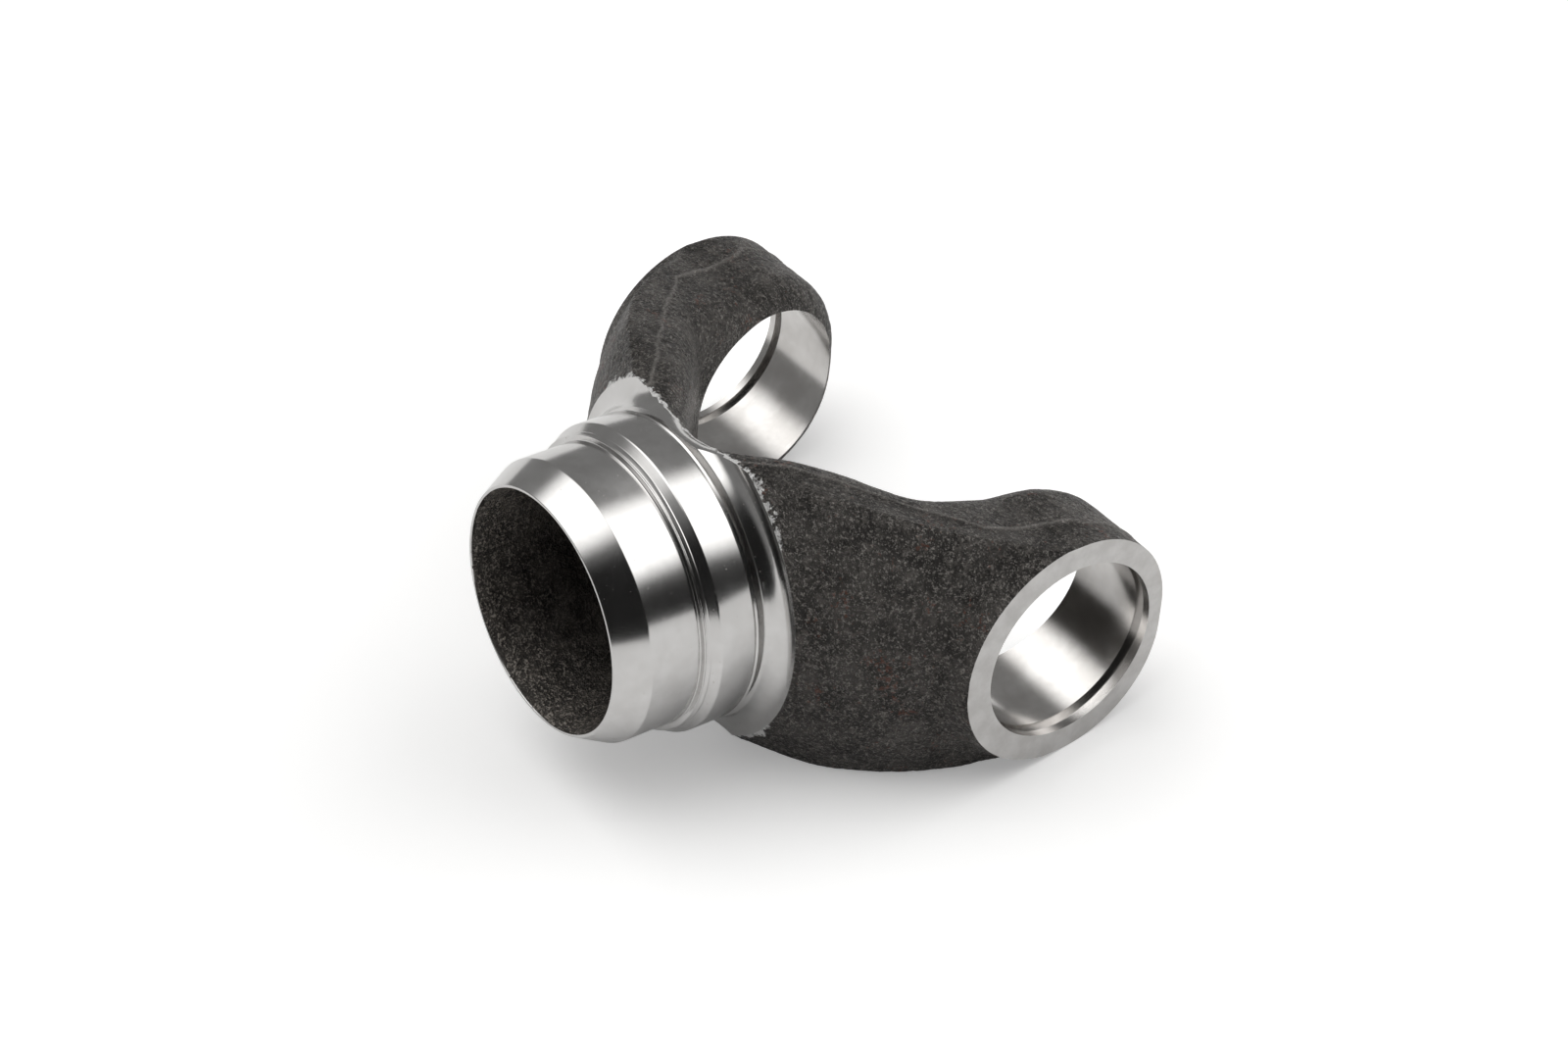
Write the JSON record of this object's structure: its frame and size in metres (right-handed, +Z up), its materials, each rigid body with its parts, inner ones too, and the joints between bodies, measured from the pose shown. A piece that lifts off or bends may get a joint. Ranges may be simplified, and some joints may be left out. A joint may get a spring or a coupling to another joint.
{
  "type": "forged yoke",
  "caption": "Forged universal-joint yoke: a turned hub with a seat for a tube, and two ears bored in line with snap-ring grooves for bearing caps.",
  "frame": {"origin": "where the axis of the cross bores meets the axis of the hub", "axes": "+X along the cross bores, +Z up with the yoke lying at rest on its arms and ear tips, ears towards +Y; the hub axis lies in the plane X = 0 and rises 10.9 degrees towards the hub"},
  "size_m": [0.0872, 0.0736, 0.0464],
  "materials": {
    "forged_steel": "dark forging scale, with a turned hub, milled ear faces and honed bores in bright steel"
  },
  "bodies": {
    "root": {"yoke": "forged_steel"}
  },
  "joints": []
}
